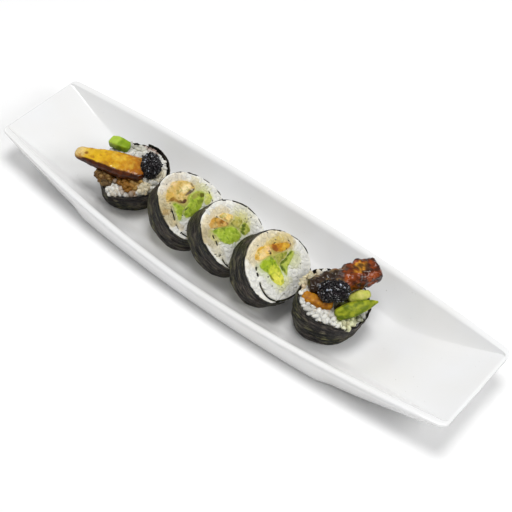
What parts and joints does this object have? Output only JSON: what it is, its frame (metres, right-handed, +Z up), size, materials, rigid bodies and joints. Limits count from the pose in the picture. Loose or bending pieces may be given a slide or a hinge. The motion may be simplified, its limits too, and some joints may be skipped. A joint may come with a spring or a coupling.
{
  "type": "maki sushi roll on plate",
  "caption": "Boat-shaped white plate holding a cut thick maki roll: leaning round slices between two upright end pieces with filling sticking out.",
  "frame": {"origin": "centre of the plate's flat base, on the surface it stands on", "axes": "+X along the plate's length towards the end whose roll piece carries the thick eel strip; +Y across the plate, away from the side the slices' nori shows on; +Z up"},
  "size_m": [0.4, 0.107, 0.0564],
  "materials": {
    "porcelain": "glossy white glaze",
    "nori": "dry dark seaweed sheet, faint sheen",
    "rice": "moist cooked grains",
    "eel": "browned, wet sauce glaze",
    "egg": "moist, slightly glossy",
    "avocado": "moist flesh",
    "cucumber": "moist, translucent",
    "roe": "wet black beads"
  },
  "bodies": {
    "root": {"piece_1_avocado": "avocado", "piece_1_eel": "eel", "piece_1_nori": "nori", "piece_1_rice": "rice", "piece_1_roe": "roe", "piece_2_avocado_a": "avocado", "piece_2_avocado_b": "avocado", "piece_2_cucumber": "cucumber", "piece_2_eel": "eel", "piece_2_nori": "nori", "piece_2_rice": "rice", "piece_3_avocado": "avocado", "piece_3_cucumber_a": "cucumber", "piece_3_cucumber_b": "cucumber", "piece_3_eel": "eel", "piece_3_egg": "egg", "piece_3_nori": "nori", "piece_3_rice": "rice", "piece_4_avocado": "avocado", "piece_4_cucumber_a": "cucumber", "piece_4_cucumber_b": "cucumber", "piece_4_eel": "eel", "piece_4_egg": "egg", "piece_4_nori": "nori", "piece_4_rice": "rice", "piece_5_avocado_a": "avocado", "piece_5_avocado_b": "avocado", "piece_5_eel": "eel", "piece_5_egg": "egg", "piece_5_nori": "nori", "piece_5_rice": "rice", "piece_5_roe": "roe", "plate": "porcelain"}
  },
  "joints": []
}
